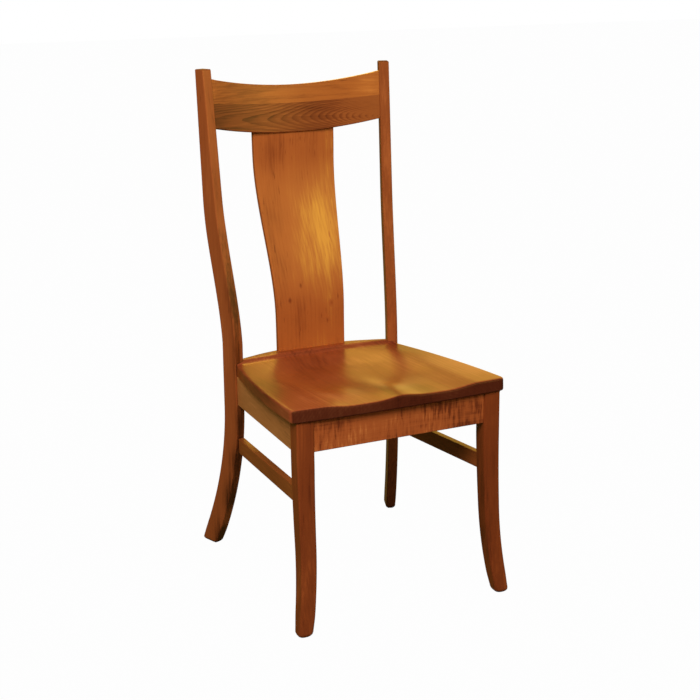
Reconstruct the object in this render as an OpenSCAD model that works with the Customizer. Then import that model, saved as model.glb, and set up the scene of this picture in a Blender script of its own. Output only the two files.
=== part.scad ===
// Side chair: saddle seat, bent splat and scooped crest rail between two curved back posts.
// Lengths are in millimetres and angles in degrees. The chair stands on z = 0 and faces -Y.
// x = 0 is its plane of symmetry, and left is the -X side, as seen by someone facing the chair.

/* [Overall] */
// Height of the back posts
back_h = 1029; // [980:1:1080]
// Height of the seat's side edges at the front legs
seat_front_h = 449; // [435:1:470]
// Slope of the seat and the side rails down towards the back
seat_slope = 3; // [1:0.5:5]

/* [Front legs] */
// Distance over the outsides of the front legs
front_spread = 433; // [410:1:445]
// Width of a front leg at the seat
front_leg_w = 35.5; // [32:0.5:42]
// Depth of a front leg at the seat
front_leg_d = 34; // [32:1:42]
// Width of a front foot
front_foot_w = 30.5; // [24:0.5:34]
// Depth of a front foot
front_foot_d = 29; // [24:1:34]
// How far a front foot curves forwards
front_flare_forward = 25; // [10:1:45]
// Height at which a front leg starts to curve forwards
front_flare_forward_h = 330; // [250:5:345]
// How far a front foot curves outwards
front_flare_out = 15.5; // [5:0.5:30]
// Height at which a front leg starts to curve outwards
front_flare_out_h = 180; // [120:5:220]

/* [Back posts] */
// Distance over the outer front corners of the posts at the seat
post_spread = 378; // [368:1:390]
// Distance from the front of the front legs to those corners
post_setback = 389; // [370:1:400]
// Turn of each post about the vertical, towards the middle of the chair
post_turn = 19.5; // [14:0.5:22]
// Thickness of a post across the chair
post_t = 22.2; // [21:0.2:26]
// Depth of a post at the seat
post_d = 42; // [38:1:48]
// Depth of a post at its top
post_top_d = 26; // [25:1:34]
// Height at which a post starts to taper towards its top
post_taper_h = 700; // [600:10:800]
// How far a back foot curves backwards
back_flare = 90.5; // [60:0.5:120]
// Height at which a post starts to curve towards its foot
back_flare_h = 330; // [240:5:335]
// Growth of the back foot's curve: 1 is a straight splay and 2 an even curve
back_flare_power = 1.9; // [1.5:0.05:2]
// Lean of a post above the seat
post_lean = 3.9; // [3:0.1:6]
// Lean of the posts towards each other, from their feet up
post_lean_in = 0.6; // [0:0.1:1.2]
// How far the reverse curve above the seat steps back
post_step = 30; // [20:1:40]
// Height at which the posts' lean and reverse curve start
post_step_low_h = 470; // [460:5:500]
// Height at which the posts' reverse curve ends
post_step_high_h = 770; // [700:10:840]

/* [Feet] */
// Rounding of the edges of the feet
foot_round = 9; // [4:0.5:9]

/* [Seat] */
// Thickness of the seat at its side edges
seat_t = 26; // [24:1:32]
// Distance over the widest part of the seat, at its front corners
seat_w = 454; // [440:1:470]
// Width of the seat where it meets the front of the posts
seat_back_w = 374; // [368:1:382]
// How far the seat's sides swell past a straight line
seat_side_swell = 8.5; // [0:0.5:16]
// How far the seat's front corners reach past the front legs
seat_overhang = 2; // [0:1:18]
// How far the seat's front edge bows out between its corners
seat_front_bow = 8; // [4:0.5:20]
// Radius of the seat's front corners, seen from above
seat_corner_r = 14; // [8:1:20]
// How far the middle of the seat's back edge lies behind the outer front corners of the posts
seat_back_past = 62; // [58:1:72]
// How far the seat's back edge curves forwards at the posts
seat_back_sag = 43; // [36:1:48]
// Number of boards that the seat is glued up from
seat_boards = 5; // [5]
// Clearance between the seat and the posts in its notches
notch_gap = 0.4; // [0.2:0.1:0.8]

/* [Saddle] */
// Height of the rim at the back of the seat, above the side edges
rim_rise = 7.5; // [4:0.5:9]
// Distance from the front of the front legs to the front of the rim at its middle
rim_front = 413; // [408:1:418]
// How far the front of the rim curves forwards at the posts
rim_sag = 13; // [5:1:20]
// Width of the slope from the rim down to the hollow
rim_slope_w = 18; // [12:1:26]
// Depth of the dish in the back half of the seat
dish_depth = 12; // [6:0.5:14]
// Distance from the front of the front legs to the middle of the dish
dish_middle = 265; // [240:5:290]
// Half width of the dish
dish_half_w = 180; // [150:5:185]
// Length of the dish behind its middle
dish_back_l = 150; // [130:5:160]
// Length of the dish in front of its middle
dish_front_l = 240; // [200:5:270]
// Depth of the two leg troughs at the front edge
trough_depth = 5.5; // [4:0.5:10]
// Distance from the middle to the outside of a trough's flat bottom
trough_flat = 100; // [80:5:120]
// Width of the slope at the outside of a trough
trough_slope_w = 68; // [50:2:80]
// Height of the ridge between the troughs, as a share of their depth
pommel_share = 1; // [0.3:0.05:1]
// Half width of that ridge
pommel_half_w = 34; // [15:1:35]

/* [Rails] */
// Height of the rails under the seat
rail_h = 62; // [56:1:72]
// Thickness of the rails under the seat
rail_t = 18; // [16:1:19]
// Setback of the rails from the outer faces of the front legs
rail_setback = 3; // [1:0.5:5]
// Distance of the back rail behind the outer front corners of the posts
back_rail_setback = 16; // [14:1:18]
// Distance between the outer faces of the side rails at the posts
side_rail_back_w = 374; // [372:1:378]

/* [Stretchers] */
// Distance from the seat's side edge down to the top of a stretcher
stretcher_drop = 163; // [140:1:200]
// Height of a stretcher
stretcher_h = 32; // [26:1:38]
// Thickness of a stretcher
stretcher_t = 14; // [12:0.5:17]
// Distance between the outer faces of the stretchers at the front legs
stretcher_front_w = 415; // [410:1:424]
// Distance between the outer faces of the stretchers at the posts
stretcher_back_w = 376; // [370:1:376]

/* [Crest rail] */
// How far the posts stand above the crest rail
post_proud = 20; // [10:1:40]
// Height of the crest rail at its ends
crest_h = 99; // [85:1:115]
// Height of its lower board at its ends
crest_lower_h = 50; // [42:1:56]
// Thickness of the crest rail
crest_t = 20; // [18:0.5:22]
// Setback of the crest rail from the front of the posts
crest_setback = 2; // [1:0.5:6]
// How far the crest rail bows backwards at its middle
crest_bow = 32; // [24:1:38]
// How far its top edge dips at the middle
crest_scoop = 18; // [10:1:26]
// How far its bottom edge bellies down at the middle
crest_belly = 18; // [10:1:30]
// How far the glue line between its two boards dips at the middle
crest_joint_dip = 7; // [1:0.5:10]

/* [Splat] */
// Width of the splat at the seat
splat_foot_w = 156; // [140:1:175]
// Width of the splat at the crest rail
splat_head_w = 184.5; // [170:0.5:200]
// Thickness of the splat
splat_t = 11; // [9:0.5:12]
// Distance from the front of the front legs to the splat's middle at the seat
splat_setback = 431; // [427:1:432]
// Height at which the splat starts to bend backwards
splat_bend_low_h = 510; // [480:5:540]
// Height at which the splat stops bending
splat_bend_high_h = 840; // [780:5:860]
// Height at which the splat starts to widen
splat_widen_low_h = 480; // [460:5:540]
// Height at which the splat reaches its full width
splat_widen_high_h = 880; // [800:5:880]

/* [Joints] */
// Thickness of the tenons on the rails and stretchers
tenon_t = 8; // [6:0.5:9]
// Step from the top and bottom of a rail to its tenon
tenon_step = 8; // [5:1:12]
// Length of the front rail's tenons
front_tenon_l = 19; // [14:1:20]
// Length of the side rails' and stretchers' tenons
side_tenon_l = 14; // [10:1:15]
// Length of the back rail's tenons
back_tenon_l = 13; // [10:1:14]
// Thickness of the splat's tenons
splat_tenon_t = 6; // [4:0.5:6]
// Width of the splat's tenons
splat_tenon_w = 110; // [90:2:120]
// Length of the splat's tenons
splat_tenon_l = 15; // [10:1:17]
// Clearance round a tenon or dowel in its hole
fit_gap = 0.15; // [0.05:0.05:0.3]
// Clearance at the end of a tenon, dowel or screw in its hole
end_gap = 1; // [0.5:0.1:2]
// Diameter of the crest rail's dowels
dowel_d = 8; // [6:0.5:9]
// Length of the crest rail's dowels
dowel_l = 40; // [30:1:44]
// Depth of those dowels in the posts
dowel_in_post = 15; // [10:1:18]

/* [Corner blocks] */
// Thickness of a corner block, from top to bottom
block_t = 22; // [16:1:28]
// Width of a corner block across the corner
block_w = 28; // [24:1:32]
// Distance along each rail from the corner to the block
block_offset = 30; // [30:1:36]
// Gap between the seat and the top of a corner block
block_drop = 2; // [1:0.5:4]

/* [Screws] */
// Shank diameter of the screws
screw_d = 4; // [3:0.5:5]
// Head diameter of the screws
screw_head_d = 8; // [6:0.5:9]
// Head height of the screws
screw_head_h = 2.6; // [2:0.2:3]
// Length of a block screw's shank inside its block
screw_in_block = 14; // [10:1:18]
// Length of a block screw's shank inside its rail
screw_in_rail = 12; // [8:1:13]
// Length of a seat screw's shank inside the seat
screw_in_seat = 13; // [8:1:15]
// Length of a screw's point
screw_point_l = 4; // [2:0.5:5]

/* [Hidden] */

// Steps along the curves of a leg, of a post or splat, and round a foot or corner
leg_steps = 14;
post_steps = 44;
round_steps = 6;
// Grid of the saddle, along and across a board
saddle_steps_along = 36;
saddle_steps_across = 6;
// How far the seat's blank passes its outline on each side
blank_margin = 3;
// Longer than anything that a cutting block has to pass through
far = 700;
$fn = 96;

wood = [0.60, 0.33, 0.13];
seat_wood = [0.66, 0.37, 0.14];
dark_wood = [0.47, 0.23, 0.10];
bare_wood = [0.80, 0.66, 0.46];
steel = [0.62, 0.62, 0.60];

// An even ramp from 0 to 1 with soft ends
function smooth(t) = t <= 0 ? 0 : t >= 1 ? 1 : t * t * (3 - 2 * t);
// Radius of the arc that rises by `rise` at a distance `run` from where it starts
function arc_radius(run, rise) = (run * run + rise * rise) / (2 * rise);
function arc_rise(run, rise, at) = arc_radius(run, rise) - sqrt(pow(arc_radius(run, rise), 2) - at * at);
// How far a foot's rounded edge draws in at height z
function foot_inset(z) =
    z >= foot_round ? 0 : foot_round - sqrt(pow(foot_round, 2) - pow(foot_round - z, 2));
// Heights of the points along a leg: close together round the foot, and even above it
function leg_heights(top, steps) = concat(
    [for (i = [0:round_steps]) foot_round * (1 - cos(90 * i / round_steps))],
    [for (i = [1:steps]) foot_round + (top - foot_round) * i / steps]
);
function backwards(list) = [for (i = [len(list) - 1:-1:0]) list[i]];

// Front legs: how far the foot's curves carry the leg, and its section, at height z
function leg_forward(z) = z >= front_flare_forward_h ? 0
    : arc_rise(front_flare_forward_h, front_flare_forward, front_flare_forward_h - z);
function leg_outward(z) = z >= front_flare_out_h ? 0
    : arc_rise(front_flare_out_h, front_flare_out, front_flare_out_h - z);
function leg_taper(z) = max(0, 1 - z / front_flare_forward_h);
function leg_width(z) = front_leg_w - (front_leg_w - front_foot_w) * leg_taper(z);
function leg_depth(z) = front_leg_d - (front_leg_d - front_foot_d) * leg_taper(z);

leg_outer_x = front_spread / 2;
leg_inner_x = leg_outer_x - front_leg_w;
front_heights = leg_heights(seat_front_h, leg_steps);
leg_front_line = [for (z = front_heights) [-leg_forward(z) + foot_inset(z), z]];
leg_back_line = [for (z = front_heights) [leg_depth(z) - leg_forward(z) - foot_inset(z), z]];
leg_outer_line = [for (z = front_heights) [leg_outer_x + leg_outward(z) - foot_inset(z), z]];
leg_inner_line = [
    for (z = front_heights) [leg_outer_x + leg_outward(z) - leg_width(z) + foot_inset(z), z]
];

// Back posts: offset of the middle line and depth at height z, in the post's own plane
function post_flare(z) = z >= back_flare_h ? 0
    : back_flare * pow(1 - z / back_flare_h, back_flare_power);
function post_rise(z) = z <= post_step_low_h ? 0
    : (z - post_step_low_h) * tan(post_lean)
      + post_step * smooth((z - post_step_low_h) / (post_step_high_h - post_step_low_h));
function post_flare_slope(z) = z >= back_flare_h ? 0
    : back_flare * back_flare_power / back_flare_h * pow(1 - z / back_flare_h, back_flare_power - 1);
// The post keeps its width across the curve, so its level depth grows where it splays
function post_depth(z) = z <= post_taper_h ? post_d * norm([1, post_flare_slope(z)])
    : post_d - (post_d - post_top_d) * (z - post_taper_h) / (back_h - post_taper_h);
function post_front(z) = post_d / 2 + post_flare(z) + post_rise(z) - post_depth(z) / 2;

// How far the post's outer and inner faces lie inwards of its outer front corner at the seat
function post_outer_in(z) = (z - seat_front_h) * tan(post_lean_in);
function post_inner_in(z) = post_outer_in(z) + post_t;

back_heights = leg_heights(back_h, post_steps);
back_foot_heights = leg_heights(back_h, 1);
post_front_line = [for (z = back_heights) [post_front(z) + foot_inset(z), z]];
post_back_line = [for (z = back_heights) [post_front(z) + post_depth(z) - foot_inset(z), z]];
post_outer_line = [for (z = back_foot_heights) [post_outer_in(z) + foot_inset(z), z]];
post_inner_line = [for (z = back_foot_heights) [post_inner_in(z) - foot_inset(z), z]];
// Inner front corner of the right post at height z
function post_inner_x(z) =
    post_spread / 2 + post_front(z) * sin(post_turn) - post_inner_in(z) * cos(post_turn);
function post_inner_y(z) =
    post_setback + post_front(z) * cos(post_turn) + post_inner_in(z) * sin(post_turn);

// Crest rail, in its own leaning frame: z = 0 at the ends of its bottom edge
crest_top_z = back_h - post_proud;
crest_foot_z = crest_top_z - crest_h;
crest_half = post_inner_x(crest_foot_z + crest_h / 2);
crest_y = post_inner_y(crest_foot_z) + crest_setback;
crest_lean = atan2(post_inner_y(crest_top_z) - post_inner_y(crest_foot_z), crest_h);
crest_r = arc_radius(crest_half, crest_bow);

// The chair's own middle, front to back, so that the origin lies under it
front_most = min(concat([-seat_overhang - seat_front_bow], [for (p = leg_front_line) p.x]));
foot_reach = max([
    for (z = back_heights)
    (post_front(z) + post_depth(z) - foot_inset(z)) * cos(post_turn)
    + (post_inner_in(z) - foot_inset(z)) * sin(post_turn)
]);
crest_reach = (crest_bow + crest_t) * cos(crest_lean) + (crest_h - crest_scoop) * sin(crest_lean);
mid_y = (front_most + max(post_setback + foot_reach, crest_y + crest_reach)) / 2;

// Splat: its middle line and half width at height z
splat_head_z = crest_foot_z - crest_belly * cos(crest_lean);
splat_head_y = crest_y - crest_belly * sin(crest_lean) + crest_bow + crest_t / 2;
splat_foot_y = splat_setback * cos(seat_slope) + rim_rise * sin(seat_slope);
function splat_y(z) = splat_foot_y + (splat_head_y - splat_foot_y)
    * smooth((z - splat_bend_low_h) / (splat_bend_high_h - splat_bend_low_h));
function splat_half(z) = splat_foot_w / 2 + (splat_head_w - splat_foot_w) / 2
    * smooth((z - splat_widen_low_h) / (splat_widen_high_h - splat_widen_low_h));
splat_low_z = seat_front_h - splat_setback * sin(seat_slope) - seat_t;
splat_heights = [
    for (i = [0:post_steps]) splat_low_z + (crest_top_z - splat_low_z) * i / post_steps
];

// Seat outline from above, in the seat's own sloping plane, and its saddle
seat_half = seat_w / 2;
seat_corner_y = -seat_overhang + seat_corner_r;
seat_side_l = post_setback + notch_gap - seat_corner_y;
seat_back_reach = post_setback + seat_back_past;
board_w = seat_w / seat_boards;
function seat_side_x(t) = seat_half - (seat_half - seat_back_w / 2) * t + 4 * seat_side_swell * t * (1 - t);
function seat_front_y(x) = -seat_overhang - seat_front_bow * (1 - pow(x / seat_half, 2));
seat_back_half = post_inner_x(seat_front_h) + post_t / 4;
seat_back_r = arc_radius(seat_back_half, seat_back_sag);
seat_right_half = concat(
    [for (i = [0:leg_steps]) let (x = (seat_half - seat_corner_r) * i / leg_steps) [x, seat_front_y(x)]],
    [
        for (i = [1:round_steps]) let (a = 90 * i / round_steps)
        [
            seat_half - seat_corner_r + seat_corner_r * sin(a),
            seat_corner_y - (seat_corner_y - seat_front_y(seat_half - seat_corner_r)) * cos(a)
        ]
    ],
    [for (i = [1:leg_steps]) [seat_side_x(i / leg_steps), seat_corner_y + seat_side_l * i / leg_steps]],
    [
        for (i = [leg_steps:-1:0]) let (x = seat_back_half * i / leg_steps)
        [x, seat_back_reach - seat_back_r + sqrt(pow(seat_back_r, 2) - x * x)]
    ]
);
seat_outline = concat(seat_right_half, [for (p = backwards(seat_right_half)) if (p.x > 0) [-p.x, p.y]]);

function rim_front_y(x) = rim_front - rim_sag * pow(x / (seat_back_w / 2), 2);
function rim(x, y) = smooth((y - rim_front_y(x) + rim_slope_w) / rim_slope_w);
function dish(x, y) = dish_depth * (1 - smooth(
    (norm([x / dish_half_w, (y - dish_middle) / (y > dish_middle ? dish_back_l : dish_front_l)]) - 0.3) / 0.7));
function trough(x, y) = trough_depth
    * (1 - smooth((abs(x) - trough_flat) / trough_slope_w))
    * (1 - pommel_share * exp(-pow(x / pommel_half_w, 2)))
    * (1 - smooth((y - dish_middle / 2) / (dish_middle / 2)));
function saddle(x, y) = rim_rise * rim(x, y) - (1 - rim(x, y)) * (dish(x, y) + trough(x, y));

// Side rails and stretchers: angle in plan of a bar whose outer face goes from front_x to back_x
side_rail_front_x = leg_outer_x - rail_setback;
side_rail_back_x = side_rail_back_w / 2;
bar_l = post_setback - front_leg_d;
function bar_angle(front_x, back_x) = atan2(front_x - back_x, bar_l);
side_rail_angle = bar_angle(side_rail_front_x, side_rail_back_x);
function side_rail_inner_x(y) =
    side_rail_front_x - rail_t / cos(side_rail_angle) - (y - front_leg_d) * tan(side_rail_angle);
front_rail_inner_y = rail_setback + rail_t;
back_rail_y = post_setback + back_rail_setback;
front_rail_z = seat_front_h - seat_t / cos(seat_slope) - rail_h;
back_rail_z = front_rail_z - back_rail_y * tan(seat_slope);

module centred() translate([0, -mid_y, 0]) children();

// The sloping plane of the seat's side edges, with its origin over the front of the legs
module seat_frame() translate([0, 0, seat_front_h]) rotate([-seat_slope, 0, 0]) children();

// The plane that the right post is sawn from: x is backwards along it and y is inwards
module post_frame() translate([post_spread / 2, post_setback, 0]) rotate(90 - post_turn) children();

module crest_frame() translate([0, crest_y, crest_foot_z]) rotate([-crest_lean, 0, 0]) children();

// Turns an outline in x and z into a board that is `depth` thick along +Y
module upright(depth) translate([0, depth, 0]) rotate([90, 0, 0]) linear_extrude(depth) children();

// Turns an outline in y and z into a board that is `depth` thick along +X
module sideways(depth) rotate([90, 0, 90]) linear_extrude(depth) children();

module block(low, high) translate(low) cube(high - low);

// Spaces that neighbours are cut back from
module above_rails() seat_frame() block([-far, -far, -seat_t], [far, far, far]);
module below_rim() seat_frame() block([-far, -far, -far], [far, far, rim_rise]);
module outside_post() post_frame() translate([-far, 0, 0]) sideways(2 * far) polygon([
    [-far, -far], [post_inner_in(-far), -far], [post_inner_in(2 * far), 2 * far], [-far, 2 * far]
]);
module behind_post() post_frame() translate([0, -far, 0])
    upright(2 * far) polygon(concat(post_front_line, [[far, back_h], [far, 0]]));
module ahead_of_leg() sideways(far)
    polygon(concat(leg_back_line, [[-far, seat_front_h], [-far, 0]]));

module leg_blank() intersection() {
    sideways(far) polygon(concat(leg_front_line, backwards(leg_back_line)));
    translate([0, -far, 0]) upright(2 * far) polygon(concat(leg_outer_line, backwards(leg_inner_line)));
}

// A post, or the room for one: sawn to its curves seen from the side, then to its thickness
module post_blank(gap = 0) post_frame() intersection() {
    translate([0, -far, 0]) upright(2 * far) polygon(concat(
        [for (p = post_front_line) [p.x - gap, p.y]],
        [for (p = backwards(post_back_line)) [p.x + gap, p.y]]
    ));
    translate([-far, 0, 0]) sideways(2 * far) polygon(concat(
        [for (p = post_outer_line) [p.x - gap, p.y]],
        [for (p = backwards(post_inner_line)) [p.x + gap, p.y]]
    ));
}

// A side rail or stretcher, running from inside the front leg to inside the post.
// Its tenons use the same frame, where y = 0 is at the back of the front leg.
module bar_frame(front_x, back_x) seat_frame() translate([front_x, front_leg_d, 0])
    rotate(bar_angle(front_x, back_x)) children();

module bar_body(front_x, back_x, t, low, high) difference() {
    bar_frame(front_x, back_x) block([-t, -side_tenon_l, low], [0, bar_l + side_tenon_l, high]);
    ahead_of_leg();
    behind_post();
}

module bar_tenons(front_x, back_x, t, low, high, gap = 0) bar_frame(front_x, back_x) {
    middle = bar_l / 2;
    side = (t - tenon_t) / 2 - gap;
    low_z = low + tenon_step - gap;
    high_z = high - tenon_step + gap;
    block([-t + side, -side_tenon_l - gap, low_z], [-side, middle, high_z]);
    block([-t + side, middle, low_z], [-side, bar_l + side_tenon_l + gap, high_z]);
}

module side_rail_tenons(gap = 0)
    bar_tenons(side_rail_front_x, side_rail_back_x, rail_t, -seat_t - rail_h, -seat_t, gap);

module stretcher_tenons(gap = 0)
    bar_tenons(stretcher_front_w / 2, stretcher_back_w / 2, stretcher_t,
        -stretcher_drop - stretcher_h, -stretcher_drop, gap);

// A rail across the chair, from its middle out to x = reach; y is its front face
module cross_tenon(reach, y, low, gap = 0) {
    side = (rail_t - tenon_t) / 2 - gap;
    top = seat_front_h - seat_t / cos(seat_slope) - (y + rail_t) * tan(seat_slope);
    block([0, y + side, low + tenon_step - gap],
        [reach + gap, y + rail_t - side, top - tenon_step + gap]);
}

back_tenon_reach = post_inner_x(back_rail_z) + back_rail_setback * sin(post_turn) + back_tenon_l;
module front_rail_tenon(gap = 0) cross_tenon(leg_inner_x + front_tenon_l, rail_setback, front_rail_z, gap);
module back_rail_tenon(gap = 0) cross_tenon(back_tenon_reach, back_rail_y, back_rail_z, gap);

module mirrored_pair() {
    children();
    mirror([1, 0, 0]) children();
}

// Places a dowel or its hole at each board's end; children lie along -X into the post
module at_dowels() for (h = [crest_lower_h / 2, (crest_lower_h + crest_h) / 2]) {
    z = crest_foot_z + h * cos(crest_lean);
    post_frame() translate([post_front(z) + crest_setback + crest_t / 2, post_inner_in(z), z])
        rotate([0, 90, 90]) children();
}

module dowel_hole() translate([0, 0, -dowel_in_post - end_gap])
    cylinder(d = dowel_d + 2 * fit_gap, h = dowel_l + 2 * end_gap);

// The right-hand pieces; the left-hand ones are their mirror images
module back_post() centred() difference() {
    post_blank();
    side_rail_tenons(gap = fit_gap);
    stretcher_tenons(gap = fit_gap);
    back_rail_tenon(gap = fit_gap);
    at_dowels() dowel_hole();
}

module front_leg() centred() difference() {
    leg_blank();
    above_rails();
    front_rail_tenon(gap = fit_gap);
    side_rail_tenons(gap = fit_gap);
    stretcher_tenons(gap = fit_gap);
}

module side_rail() centred() difference() {
    union() {
        bar_body(side_rail_front_x, side_rail_back_x, rail_t, -seat_t - rail_h, -seat_t);
        side_rail_tenons();
    }
    block_screw_holes();
}

module stretcher() centred() {
    bar_body(stretcher_front_w / 2, stretcher_back_w / 2, stretcher_t,
        -stretcher_drop - stretcher_h, -stretcher_drop);
    stretcher_tenons();
}

module left_back_post() color(wood) mirror([1, 0, 0]) back_post();
module right_back_post() color(wood) back_post();
module left_front_leg() color(wood) mirror([1, 0, 0]) front_leg();
module right_front_leg() color(wood) front_leg();
module left_side_rail() color(wood) mirror([1, 0, 0]) side_rail();
module right_side_rail() color(wood) side_rail();
module left_stretcher() color(wood) mirror([1, 0, 0]) stretcher();
module right_stretcher() color(wood) stretcher();

module front_rail() color(dark_wood) centred() difference() {
    union() {
        block([-leg_inner_x, rail_setback, front_rail_z], [leg_inner_x, front_rail_inner_y, seat_front_h]);
        mirrored_pair() front_rail_tenon();
    }
    above_rails();
    mirrored_pair() block_screw_holes();
}

module back_rail() color(wood) centred() difference() {
    union() {
        difference() {
            block([-post_spread / 2, back_rail_y, back_rail_z],
                [post_spread / 2, back_rail_y + rail_t, seat_front_h]);
            mirrored_pair() outside_post();
        }
        mirrored_pair() back_rail_tenon();
    }
    above_rails();
    mirrored_pair() block_screw_holes();
}

// A disc on a cross axis whose lowest point is at z = low and which rises by `rise` at the rail's ends
module crest_disc(low, rise) {
    r = arc_radius(crest_half, rise);
    translate([0, far / 2, low + r]) rotate([90, 0, 0]) cylinder(r = r, h = far, $fn = 360);
}

// The bowed slab that both boards are cut from
module crest_slab() difference() {
    translate([0, crest_bow - crest_r, -2 * crest_h])
        cylinder(r = crest_r + crest_t, h = 4 * crest_h, $fn = 360);
    translate([0, crest_bow - crest_r, -3 * crest_h])
        cylinder(r = crest_r, h = 6 * crest_h, $fn = 360);
    block([-2 * far, -4 * far, -3 * crest_h], [2 * far, -crest_bow, 3 * crest_h]);
}

module crest_lower_edge() crest_disc(-crest_belly, crest_belly);
module crest_joint() crest_disc(crest_lower_h - crest_joint_dip, crest_joint_dip);
module crest_top_edge() crest_disc(crest_h - crest_scoop, crest_scoop);

module crest_upper_board() color(wood) centred() difference() {
    crest_frame() difference() {
        intersection() {
            crest_slab();
            crest_joint();
        }
        crest_top_edge();
    }
    mirrored_pair() outside_post();
    mirrored_pair() at_dowels() dowel_hole();
}

module crest_lower_board() color(dark_wood) centred() difference() {
    crest_frame() difference() {
        intersection() {
            crest_slab();
            crest_lower_edge();
        }
        crest_joint();
    }
    mirrored_pair() outside_post();
    mirrored_pair() at_dowels() dowel_hole();
    splat_head_tenon(gap = fit_gap);
}

module crest_dowels() color(bare_wood) centred() mirrored_pair() at_dowels()
    translate([0, 0, -dowel_in_post]) cylinder(d = dowel_d, h = dowel_l);

// The splat's tenons; each starts well inside the splat
module splat_head_tenon(gap = 0) crest_frame() {
    y = crest_bow + crest_t / 2;
    block([-splat_tenon_w / 2 - gap, y - splat_tenon_t / 2 - gap, -crest_belly - splat_tenon_l],
        [splat_tenon_w / 2 + gap, y + splat_tenon_t / 2 + gap, splat_tenon_l - crest_belly + gap]);
}

module splat_foot_tenon(gap = 0) seat_frame() block(
    [-splat_tenon_w / 2 - gap, splat_setback - splat_tenon_t / 2 - gap, rim_rise - splat_tenon_l - gap],
    [splat_tenon_w / 2 + gap, splat_setback + splat_tenon_t / 2 + gap, rim_rise + splat_tenon_l]
);

module back_splat() color(wood) centred() {
    difference() {
        intersection() {
            translate([-far / 2, 0, 0]) sideways(far) polygon(concat(
                [for (z = splat_heights) [splat_y(z) - splat_t / 2, z]],
                [for (z = backwards(splat_heights)) [splat_y(z) + splat_t / 2, z]]
            ));
            upright(far) polygon(concat(
                [for (z = splat_heights) [splat_half(z), z]],
                [for (z = backwards(splat_heights)) [-splat_half(z), z]]
            ));
        }
        below_rim();
        crest_frame() crest_lower_edge();
    }
    splat_head_tenon();
    splat_foot_tenon();
}

// A strip of the seat blank from x0 to x1, with the saddle as its top
module saddle_strip(x0, x1) {
    nx = saddle_steps_across;
    ny = saddle_steps_along;
    y0 = -seat_overhang - 2 * seat_front_bow;
    y1 = seat_back_reach + seat_front_bow;
    top = [
        for (j = [0:ny], i = [0:nx])
        let (x = x0 + (x1 - x0) * i / nx, y = y0 + (y1 - y0) * j / ny) [x, y, saddle(x, y)]
    ];
    // Top points round the edge, with one point under each, and one in the middle of the underside
    rim_points = concat(
        [for (i = [0:nx - 1]) i], [for (j = [0:ny - 1]) nx + j * (nx + 1)],
        [for (i = [nx:-1:1]) ny * (nx + 1) + i], [for (j = [ny:-1:1]) j * (nx + 1)]
    );
    low = [for (k = rim_points) [top[k].x, top[k].y, -seat_t]];
    count = len(top);
    round = len(low);
    polyhedron(
        concat(top, low, [[(x0 + x1) / 2, (y0 + y1) / 2, -seat_t]]),
        concat(
            [
                for (j = [0:ny - 1], i = [0:nx - 1])
                let (a = j * (nx + 1) + i, b = a + nx + 1)
                each [[a, b, b + 1], [a, b + 1, a + 1]]
            ],
            [
                for (m = [0:round - 1]) let (n = (m + 1) % round)
                each [
                    [rim_points[m], rim_points[n], count + n],
                    [rim_points[m], count + n, count + m],
                    [count + m, count + n, count + round]
                ]
            ]
        )
    );
}

// Edge number i of the boards, counted from the left; the outermost two lie past the outline
function board_edge(i) = -seat_half + board_w * i + (i == 0 ? -blank_margin : i == seat_boards ? blank_margin : 0);

// Board number i, counted from the left
module seat_board(i) color(seat_wood) centred() difference() {
    seat_frame() intersection() {
        saddle_strip(board_edge(i - 1), board_edge(i));
        translate([0, 0, -2 * seat_t]) linear_extrude(4 * seat_t) polygon(seat_outline);
    }
    mirrored_pair() post_blank(gap = notch_gap);
    if (board_edge(i - 1) < splat_tenon_w / 2 && board_edge(i) > -splat_tenon_w / 2)
        splat_foot_tenon(gap = fit_gap);
    mirrored_pair() at_blocks() seat_screw_hole();
}

// Corner blocks: children stand at the inside corner of two rails, with +X and +Y into the chair
module at_front_block() seat_frame() translate([side_rail_inner_x(front_rail_inner_y), front_rail_inner_y, 0])
    mirror([1, 0, 0]) children();
module at_back_block() seat_frame() translate([side_rail_inner_x(back_rail_y), back_rail_y, 0])
    rotate(180) children();
module at_blocks() {
    at_front_block() children();
    at_back_block() children();
}

block_top = -seat_t - block_drop;
block_mid = block_offset + block_w * sqrt(2) / 2;
block_axis_z = block_top - block_t / 2;

module block_bar() translate([block_mid / 2, block_mid / 2, block_top - block_t])
    rotate(-45) translate([-far / 4, -block_w / 2, 0]) cube([far / 2, block_w, block_t]);

module outside_side_rail() bar_frame(side_rail_front_x, side_rail_back_x)
    block([-rail_t, -far, -far], [far, far, far]);
module outside_cross_rails() {
    block([-far, -far, 0], [far, front_rail_inner_y, far]);
    block([-far, back_rail_y, 0], [far, 2 * far, far]);
}

module front_block() centred() difference() {
    at_front_block() block_bar();
    outside_side_rail();
    outside_cross_rails();
    block_screw_holes();
    at_front_block() seat_screw_hole();
}

module back_block() centred() difference() {
    at_back_block() block_bar();
    outside_side_rail();
    outside_cross_rails();
    block_screw_holes();
    at_back_block() seat_screw_hole();
}

module front_left_block() color(bare_wood) mirror([1, 0, 0]) front_block();
module front_right_block() color(bare_wood) front_block();
module back_left_block() color(bare_wood) mirror([1, 0, 0]) back_block();
module back_right_block() color(bare_wood) back_block();

// A round-head wood screw on the Z axis: its head sits on z = 0 and its shank points down
module screw(l) rotate_extrude() polygon([
    [0, -l], [screw_d / 2, screw_point_l - l], [screw_d / 2, 0], [screw_head_d / 2, 0],
    [screw_head_d / 2, screw_head_h / 2], [screw_head_d / 4, screw_head_h], [0, screw_head_h]
]);

// The hole for a screw of length l, with a wide pocket for its head
module screw_hole(l, pocket) {
    translate([0, 0, -l - end_gap]) cylinder(d = screw_d + 2 * fit_gap, h = l + 2 * end_gap);
    cylinder(d = screw_head_d + 2 * end_gap, h = pocket);
}

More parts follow.
